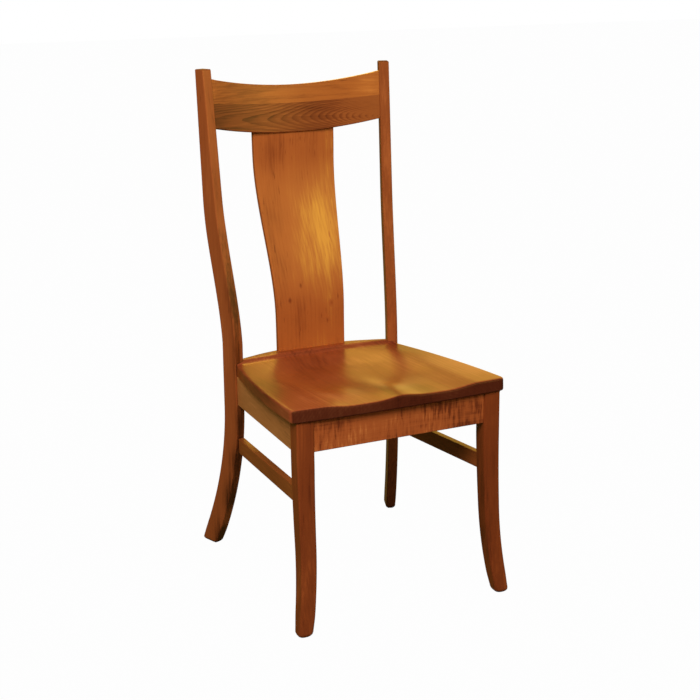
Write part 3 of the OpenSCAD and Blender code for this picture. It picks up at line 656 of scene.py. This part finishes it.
back_rail_wood = lacquered_wood("back_rail_wood", "X", ((100, 43, 19), (139, 68, 30), (165, 89, 42)),
                                heart=spot(0, 480, 330))
BACK_RAIL_Y = POST_SETBACK + 16
PAST_POST_X = POST_SPREAD / 2 + 31
top = under_seat(BACK_RAIL_Y)
back_rail = stand(draw_out("rail_back", "X", [
    (x, BACK_RAIL_Y + RAIL_T / 2, top - RAIL_H / 2, RAIL_T, RAIL_H) for x in (-PAST_POST_X, 0, PAST_POST_X)
]), 0, 0, 0)
saw_off(back_rail, INNER_CORNER, INTO_POST)
saw_off(back_rail, INNER_CORNER * FLIP, INTO_POST * FLIP)
saw_off(back_rail, spot(0, 0, under_seat(0)), SEAT_DOWN)
ease(back_rail, RAIL_EASE, pick=lambda middle: abs(middle.x) < 165 * mm and middle.z < 0.37)
smooth_off(back_rail, back_rail_wood, "frame_wood", "back_rail")

# %% [markdown]
# The crest rail is bowed back between the posts and leans with them. Two boards are glued edge to edge: the
# upper one is lighter and its top edge is scooped, and the lower one is darker, with arched grain, and its
# bottom edge bellies down. Both are drawn out along the bow, then leaned back and sawn off at the posts. The
# edges along the glue line stay sharp, so that it closes.

# %% Crest rail
CREST_H, CREST_LOWER_H, CREST_T, CREST_BOW = 99, 50, 20, 32
BELLY, SCOOP, JOINT_SAG = 18, 18, 7
CREST_INTO_POST = 14
CREST_TOP_Z = BACK_H - 20
CREST_FOOT_Z = CREST_TOP_Z - CREST_H
CREST_HALF = post_front(CREST_FOOT_Z + CREST_H / 2, 1)[0]
CREST_Y = post_front(CREST_FOOT_Z, 1)[1] + 2
CREST_LEAN = atan2(post_front(CREST_TOP_Z, 1)[1] - post_front(CREST_FOOT_Z, 1)[1], CREST_H)
CREST_R = arc_radius(CREST_HALF, CREST_BOW)


def crest_bottom(x):
    return -BELLY + arc_rise(CREST_HALF, BELLY, x)


def crest_joint(x):
    return CREST_LOWER_H - JOINT_SAG + arc_rise(CREST_HALF, JOINT_SAG, x)


def crest_top(x):
    return CREST_H - SCOOP + arc_rise(CREST_HALF, SCOOP, x)


def crest_station(x, low, high):
    front = CREST_BOW - CREST_R + sqrt(CREST_R ** 2 - x ** 2)
    back = CREST_BOW - CREST_R + sqrt((CREST_R + CREST_T) ** 2 - x ** 2)
    return x, (front + back) / 2, (low(x) + high(x)) / 2, back - front, high(x) - low(x)


def away_from(line):
    """Accepts the edges that don't lie on a curve across the rail or at its ends."""
    turned_back = Matrix.Rotation(CREST_LEAN, 4, "X")

    def pick(middle):
        flat = turned_back @ (middle - spot(0, CREST_Y, CREST_FOOT_Z))
        return abs(flat.z / mm - line(flat.x / mm)) > 2 and abs(flat.x) < CREST_HALF * mm - 0.002

    return pick


# Each crest board is darker at its left end and lighter at its right as painted shade and light.
crest_upper_wood = lacquered_wood(
    "crest_upper_wood", "X", ((112, 52, 21), (155, 83, 33), (180, 105, 44)), heart=spot(0, 700, 900),
    rings=0.05, cloud=0.25,
    spots_and_painted_light=((spot(-150, 480, 975), (7, 7, 7), 0.3), (spot(165, 480, 982), (26, 10, 26), -0.22)))
crest_lower_wood = lacquered_wood(
    "crest_lower_wood", "X", ((72, 27, 12), (108, 49, 21), (136, 70, 30)), rings=0.85, ring=0.0027,
    lean=(0.0, -0.117), bend=1.21, wave=0.6, fibre=0.5, heart=spot(0, CREST_Y + CREST_BOW + 35, 914),
    spots_and_painted_light=((spot(-170, 480, 930), (7, 7, 7), 0.45), (spot(170, 480, 930), (7, 7, 7), -0.65)))

crest_reach = CREST_HALF + CREST_INTO_POST
for name, low, high, finish, slot in (
    ("crest_lower", crest_bottom, crest_joint, crest_lower_wood, "figured_wood"),
    ("crest_upper", crest_joint, crest_top, crest_upper_wood, "frame_wood"),
):
    stations = [crest_station(-crest_reach + crest_reach * i / 32, low, high) for i in range(65)]
    board = draw_out(name, "X", stations)
    stand(board, 0, CREST_Y, CREST_FOOT_Z, turn=(-CREST_LEAN, 0, 0))
    saw_off(board, INNER_CORNER, INTO_POST)
    saw_off(board, INNER_CORNER * FLIP, INTO_POST * FLIP)
    ease(board, 2.0, pick=away_from(crest_joint))
    smooth_off(board, finish, slot, f"{name}_board")

# %% [markdown]
# The splat is one wide thin board, bent backwards as it rises and a little wider at the crest rail. Its head
# sits in a groove in the crest rail and its foot in one in the seat's rim. Four small knots show near its
# foot. The lamp's glow on its right is painted into the wood as well, as a lighter patch, which is a painted
# highlight, with fainter painted light below it.

# %% Splat
SPLAT_T, RIM_RISE, SPLAT_SETBACK = 11, 7.5, 431
SPLAT_W, SPLAT_WIDENING, WIDENS_FROM_Z, WIDENS_OVER = 156, 28.5, 480, 400
BENDS_FROM_Z, BENDS_OVER = 510, 330
SPLAT_HEAD_Z = CREST_FOOT_Z - BELLY * cos(CREST_LEAN)
SPLAT_HEAD_Y = CREST_Y - BELLY * sin(CREST_LEAN) + CREST_BOW + CREST_T / 2
SPLAT_FOOT_Y = SPLAT_SETBACK * cos(SLOPE) + RIM_RISE * sin(SLOPE)
RIM_Z = SEAT_H - SPLAT_SETBACK * sin(SLOPE) + RIM_RISE * cos(SLOPE)


def splat_station(z):
    y = SPLAT_FOOT_Y + (SPLAT_HEAD_Y - SPLAT_FOOT_Y) * smooth((z - BENDS_FROM_Z) / BENDS_OVER)
    wide = SPLAT_W + SPLAT_WIDENING * smooth((z - WIDENS_FROM_Z) / WIDENS_OVER)
    return z, 0, y, wide, SPLAT_T


# The first spot is a painted highlight, the lamp's glow, and the second fainter painted light below it.
splat_wood = lacquered_wood(
    "splat_wood", "Z", ((110, 44, 19), (157, 80, 34), (196, 132, 48)), heart=spot(260, 600, 450), rings=0.12,
    fibre=0.24, pores=0.3, spots_and_painted_light=(
        (spot(48, 467, 680), (11, 6, 7.5), -0.38), (spot(45, 440, 570), (12, 6, 9), -0.15),
        (spot(-12, 435, 500), (14, 6, 14), 0.15),
        (spot(-60, 467, 720), (22, 8, 6), 0.25), (spot(-47, 480, 850), (20, 6, 10), 0.35),
        (spot(48, 440, 527), (110, 30, 80), 0.5), (spot(-20, 440, 571), (160, 30, 110), 0.4),
        (spot(-47, 440, 542), (160, 30, 110), 0.4), (spot(39, 440, 490), (140, 30, 90), 0.4)))
splat_low, splat_high = RIM_Z - 5, SPLAT_HEAD_Z + 7
splat = stand(draw_out("splat", "Z", [
    splat_station(splat_low + (splat_high - splat_low) * i / 64) for i in range(65)
]), 0, 0, 0)
ease(splat, 1.5)
smooth_off(splat, splat_wood, "frame_wood", "back_splat")

# %% [markdown]
# The seat is glued up from five boards, sawn to shape, then carved. A grid gives it an even net of faces,
# with narrow rows along the edges, where they are rounded over. Its points are first moved to the outline: a
# bowed front, rounded corners, sides that draw in, notches for the posts and a curved back.

# %% Seat outline
SEAT_HALF, SEAT_BACK_HALF, OVERHANG, BOW, CORNER_R = 227, 187, 2, 8, 14
SEAT_REACH, SEAT_SAG = 451, 43
SIDE_SWELL = 34
COLUMNS, NOTCH_COLUMN = 44, 32
ROWS, NOTCH_ROW = 96, 82
GAP = 0.4
NOTCH = (post_front(SEAT_H, 1)[0] - GAP, POST_SETBACK + POST_T * sin(POST_TURN) - GAP)
SEAT_BACK_SPAN = post_front(SEAT_H, 1)[0] + POST_T / 4


def seat_front(x):
    return -OVERHANG - BOW * (1 - (min(abs(x), SEAT_HALF - CORNER_R) / SEAT_HALF) ** 2)


def seat_side(y):
    t = min(1, max(0, (y + OVERHANG - CORNER_R) / (POST_SETBACK + OVERHANG - CORNER_R)))
    return SEAT_HALF - (SEAT_HALF - SEAT_BACK_HALF) * t + SIDE_SWELL * t * (1 - t)


def seat_back(x):
    radius = arc_radius(SEAT_BACK_SPAN, SEAT_SAG)
    return SEAT_REACH - radius + sqrt(radius ** 2 - x ** 2)


CORNER_DEEP = CORNER_R - OVERHANG - seat_front(SEAT_HALF)
EDGE_STEPS = (0, 0.7, 2.2, 4.5)


def edged(index, count, length):
    """Distance of a grid line from an edge: narrow steps where the edge is rounded over, then even ones."""
    last = len(EDGE_STEPS) - 1
    if index <= last:
        return EDGE_STEPS[index]
    return EDGE_STEPS[last] + (length - EDGE_STEPS[last]) * (index - last) / (count - last)


def round_corner(x, y):
    """Turns the square front corner into a quarter circle by the even map from a square to a disc."""
    a = (abs(x) - (SEAT_HALF - CORNER_R)) / CORNER_R
    b = (CORNER_R - OVERHANG - y) / CORNER_DEEP
    if a <= 0 or b <= 0:
        return x, y
    side = 1 if x > 0 else -1
    a, b = a * sqrt(1 - b * b / 2), b * sqrt(1 - a * a / 2)
    return side * (SEAT_HALF - CORNER_R + CORNER_R * a), CORNER_R - OVERHANG - CORNER_DEEP * b


def seat_point(column, row):
    """Place in plan of a point of the grid, whose column counts from the middle and row from the front."""
    side = 1 if column >= 0 else -1
    out = abs(column)
    x, back = NOTCH[0] * min(1, out / NOTCH_COLUMN), NOTCH[1]
    if out > NOTCH_COLUMN:
        x = SEAT_HALF - edged(COLUMNS - out, COLUMNS - NOTCH_COLUMN, SEAT_HALF - NOTCH[0])
        back = NOTCH[1] - (NOTCH[1] - POST_SETBACK + GAP) * (x - NOTCH[0]) / (SEAT_HALF - NOTCH[0])
    y = seat_front(x) + edged(min(row, NOTCH_ROW), NOTCH_ROW, back - seat_front(x))
    if out > NOTCH_COLUMN:
        x = seat_side(y) - edged(COLUMNS - out, COLUMNS - NOTCH_COLUMN, seat_side(y) - NOTCH[0])
    if row > NOTCH_ROW:
        y = seat_back(x) - edged(ROWS - row, ROWS - NOTCH_ROW, seat_back(x) - NOTCH[1])
        x = x * (1 + (y - NOTCH[1]) * tan(POST_TURN) / NOTCH[0] * min(1, out / NOTCH_COLUMN))
    return round_corner(side * x, y) if y < CORNER_R - OVERHANG else (side * x, y)


print("seat in plan:", [round(v, 1) for v in (seat_side(0), seat_front(0), seat_back(0))], "mm")

# %% [markdown]
# The top of the seat is a saddle: a wide dish, two troughs for the legs with a ridge between them, and a rim
# raised along the back. A carver works by eye, but one formula for the height at each place keeps the boards
# flush with each other. The same goes for the rounded edge, which depends only on the distance from it.

# %% Saddle
DISH_DEPTH, DISH_W, DISH_MIDDLE, DISH_BEHIND, DISH_BEFORE = 12, 180, 265, 150, 240
TROUGH_DEPTH, TROUGH_X, TROUGH_FADE, RIDGE_W = 5.5, 100, 68, 34
RIM_FRONT, RIM_BOW, RIM_SLOPE_W = 413, 13, 18


def rim(x, y):
    front = RIM_FRONT - RIM_BOW * (x / SEAT_BACK_HALF) ** 2
    return smooth((y - front + RIM_SLOPE_W) / RIM_SLOPE_W)


def dish(x, y):
    half_length = DISH_BEHIND if y > DISH_MIDDLE else DISH_BEFORE
    reach = hypot(x / DISH_W, (y - DISH_MIDDLE) / half_length)
    return DISH_DEPTH * (1 - smooth((reach - 0.3) / 0.7))


def trough(x, y):
    across = (1 - smooth((abs(x) - TROUGH_X) / TROUGH_FADE)) * (1 - exp(-(x / RIDGE_W) ** 2))
    half = DISH_MIDDLE / 2
    return TROUGH_DEPTH * across * (1 - smooth((y - half) / half))


def saddle(x, y):
    """Height of the carved top above the blank's flat top."""
    return RIM_RISE * rim(x, y) - (1 - rim(x, y)) * (dish(x, y) + trough(x, y))


def from_edge(x, y):
    """Distance of a point from the seat's outline, but not from the notches."""
    corner_x = abs(x) - (SEAT_HALF - CORNER_R)
    corner_y = (CORNER_R - OVERHANG - y) * CORNER_R / CORNER_DEEP
    if corner_x > 0 and corner_y > 0:
        return CORNER_R - hypot(corner_x, corner_y)
    side = seat_side(y) - abs(x) if y < POST_SETBACK else SEAT_HALF
    return min(y - seat_front(x), side, seat_back(x) - y if y > NOTCH[1] else SEAT_REACH)


def rounded(radius, distance):
    """How far a round edge lies below its flat at a distance from the side."""
    inside = radius - min(radius, max(0, distance))
    return radius - sqrt(radius * radius - inside * inside)


print("saddle:", saddle(0, DISH_MIDDLE), "mm in the dish,", saddle(0, SEAT_REACH), "mm on the rim")

# %% [markdown]
# The grid's two back corners are cut out for the posts before its points are moved, then it is extruded down
# to the thickness of the seat. Last, its top points go to their carved height and its bottom points are drawn
# up along the edge.

# %% Carve the seat
TOP_ROUND, UNDER_ROUND = 4.5, 4

deselect()
bpy.ops.mesh.primitive_grid_add(x_subdivisions=2 * COLUMNS, y_subdivisions=ROWS, size=2)
seat = bpy.context.object
seat.name = seat.data.name = "seat_blank"
bpy.ops.object.mode_set(mode="EDIT")
bpy.ops.mesh.select_all(action="DESELECT")
work = bmesh.from_edit_mesh(seat.data)
for face in work.faces:
    middle = face.calc_center_median()
    column, row = middle.x * COLUMNS, (middle.y + 1) / 2 * ROWS
    if abs(column) > NOTCH_COLUMN and row > NOTCH_ROW:
        face.select_set(True)
bmesh.update_edit_mesh(seat.data)
bpy.ops.mesh.delete(type="FACE")
work = bmesh.from_edit_mesh(seat.data)
for point in work.verts:
    x, y = seat_point(round(point.co.x * COLUMNS), round((point.co.y + 1) / 2 * ROWS))
    point.co = Vector((x, y, 0)) * mm
bmesh.update_edit_mesh(seat.data)
bpy.ops.mesh.select_all(action="SELECT")
bpy.ops.mesh.extrude_region_move(TRANSFORM_OT_translate={"value": (0, 0, -SEAT_T * mm)})
bpy.ops.mesh.select_all(action="SELECT")
bpy.ops.mesh.normals_make_consistent(inside=False)
bpy.ops.object.mode_set(mode="OBJECT")
for point in seat.data.vertices:
    x, y = point.co.x / mm, point.co.y / mm
    if point.co.z > -SEAT_T * mm / 2:
        point.co.z += (saddle(x, y) - rounded(TOP_ROUND, from_edge(x, y))) * mm
    else:
        point.co.z += rounded(UNDER_ROUND, from_edge(x, y)) * mm
stand(seat, 0, 0, SEAT_H, turn=(-SLOPE, 0, 0))
print("seat blank:", len(seat.data.polygons), "faces")

# %% [markdown]
# The carved blank is copied once for each board, and each copy is sawn off at its two glue lines. The boards
# share one finish, whose grain runs from front to back, because the lacquer hides their glue lines. It is
# glossier than the rest of the chair, and mirrors the splat. The splat's dark reflection in the dish is also
# painted in, with painted shade along the left edge by the post and on the front of the ridge, and painted
# light at the front left and on the right.

# %% Seat boards
# The seat's spots are all painted reflection, shade and light on the lacquer.
seat_wood = lacquered_wood(
    "seat_wood", "Y", ((96, 38, 21), (134, 61, 32), (164, 89, 49)), heart=spot(40, 0, 260), rings=0.25,
    ring=0.006, fibre=0.32, pores=0.15, cloud=0.6, gloss=0.295, soak=1.0,
    spots_and_painted_light=((spot(-60, 330, 440), (9, 7, 9), 0.4), (spot(200, 160, 440), (8, 6, 8), -0.5),
           (spot(35, 40, 440), (11, 13, 8), 0.5), (spot(-130, 60, 440), (9, 9, 9), -0.4),
           (spot(-215, 200, 440), (12, 5, 9), 0.3)))
BOARDS = 5
board_w = 2 * SEAT_HALF / BOARDS
for number in range(BOARDS):
    board = copy_of(seat, f"seat_plank_{number + 1}")
    left_line = -SEAT_HALF + board_w * number
    if number > 0:
        saw_off(board, spot(left_line, 0, 0), Vector((-1, 0, 0)))
    if number < BOARDS - 1:
        saw_off(board, spot(left_line + board_w, 0, 0), Vector((1, 0, 0)))
    smooth_off(board, seat_wood, "seat_wood", f"seat_board_{number + 1}")
bpy.data.objects.remove(seat)

# %% [markdown]
# The corner blocks, dowels and screws are hidden from most sides, so the model's own solids are kept and get
# a finish: bare pale wood for blocks and dowels, and plated steel with fine turning marks for the screws.

# %% Hidden pieces
bare_wood = lacquered_wood(
    "bare_wood", "X", ((176, 136, 88), (206, 168, 120), (222, 188, 142)), heart=spot(0, 200, 300),
    rings=0.25, gloss=0.6, soak=0.1)
steel = Finish(bpy.data.materials.new("screw_steel"))
steel_place = steel.node("ShaderNodeTexCoord", output=3)
turning = steel.noise(steel.stretch(steel_place, (1, 1, 6)), 900, 2)
haze = steel.noise(steel_place, 60, 2)
steel_tone = steel.blend(haze, colour(168, 162, 150), colour(196, 194, 186))
steel_bump = steel.node("ShaderNodeBump", None, {"Height": turning, "Strength": 0.2, "Distance": 0.0001})
steel_shader = steel.node("ShaderNodeBsdfPrincipled", None, {
    "Base Color": steel_tone, "Metallic": 1.0, "Roughness": 0.3 + turning * 0.2, "Normal": steel_bump})
steel.node("ShaderNodeOutputMaterial", None, {"Surface": steel_shader})

BARE = ("crest_dowels", "front_left_block", "front_right_block", "back_left_block", "back_right_block")
for finish, hidden in ((bare_wood, BARE), (steel, ("block_screws", "seat_screws"))):
    for name in hidden:
        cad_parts[name].data.materials.clear()
        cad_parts[name].data.materials.append(finish.owner)
    print(finish.owner.name, "is on", ", ".join(hidden))

# %% [markdown]
# The chair stands on a plain floor with nothing behind it. The floor is white to the camera, but keeps the
# chair's shadow: the camera sees a plain glow with a little of a lit surface in it. The rays that light the
# chair meet the lit grey surface alone, which throws a little light on the underside.

# %% Floor
deselect()
bpy.ops.mesh.primitive_plane_add(size=40, location=(0, 0, 0))
floor = bpy.context.object
floor.name = "floor"
floor_paint = Finish(bpy.data.materials.new("floor_paint"))
floor_speck = floor_paint.noise(floor_paint.node("ShaderNodeTexCoord", output=3), 3, 2)
floor_tone = floor_paint.blend(floor_speck, colour(92, 92, 92), colour(98, 98, 98))
matte = floor_paint.node("ShaderNodeBsdfDiffuse", None, {"Color": floor_tone})
glow = floor_paint.node("ShaderNodeEmission", None, {"Color": (1, 1, 1, 1), "Strength": 1.0})
RAYS = ("Is Camera Ray", "Is Glossy Ray", "Is Transmission Ray")
direct, gloss, through = (floor_paint.node("ShaderNodeLightPath", output=ray) for ray in RAYS)
seen = (direct + through) * 0.985 + gloss * 0.05
floor_mix = floor_paint.node("ShaderNodeMixShader", None, {0: seen, 1: matte, 2: glow})
floor_paint.node("ShaderNodeOutputMaterial", None, {"Surface": floor_mix})
floor.data.materials.append(floor_paint.owner)
print("floor is", [round(v) for v in floor.dimensions], "m")

# %% [markdown]
# The air is white behind the chair too, and lights it softly from all sides. What the lacquer mirrors is a
# room whose bright wall is on the right, and whose ceiling is darker than that wall.

# %% World
AIR_LIGHT, DIM_WALL, BRIGHT_WALL, CEILING_LOSS = 0.22, 0.08, 1.6, 0.9
air = Finish(bpy.data.worlds.new("studio"))
bpy.context.scene.world = air.owner
direct, gloss, through = (air.node("ShaderNodeLightPath", output=ray) for ray in RAYS)
way = air.node("ShaderNodeTexCoord")
sideways, upward = (air.node("ShaderNodeSeparateXYZ", None, {"Vector": way}, output=k) for k in (0, 2))
bright = BRIGHT_WALL - air.soft_step(upward, 0.26, 0.55) * CEILING_LOSS
mirrored = DIM_WALL + air.soft_step(sideways, 0.34, 0.5) * bright
strength = AIR_LIGHT + (direct + through) * (1 - AIR_LIGHT) + gloss * (mirrored - AIR_LIGHT)
sky = air.node("ShaderNodeBackground", None, {"Color": (1, 1, 1, 1), "Strength": strength})
air.node("ShaderNodeOutputWorld", None, {"Surface": sky})
print("air has", len(air.tree.nodes), "nodes")

# %% [markdown]
# Three square lamps stand round the chair: a main one at the front left, a small one at the front right whose
# reflection lies on the splat, and a wide one behind, which lights the seat's rim and the far edges.

# %% Lamps
def lamp(name, place, aim, size, watts):
    deselect()
    bpy.ops.object.light_add(type="AREA", location=place)
    light = bpy.context.object
    light.name = name
    light.rotation_euler = (Vector(aim) - Vector(place)).to_track_quat("-Z", "Y").to_euler()
    light.data.shape = "SQUARE"
    light.data.size = size
    light.data.energy = watts
    print(name, "of", watts, "W at", place)


lamp("key_light", (-1.25, -1.5, 2.1), (0, 0, 0.7), 1.0, 68)
lamp("glow_light", (1.46, -1.82, 1.60), (0.04, 0.2, 0.7), 0.9, 20)
lamp("back_light", (0.4, 2.4, 2.2), (0, 0, 0.6), 1.6, 26)
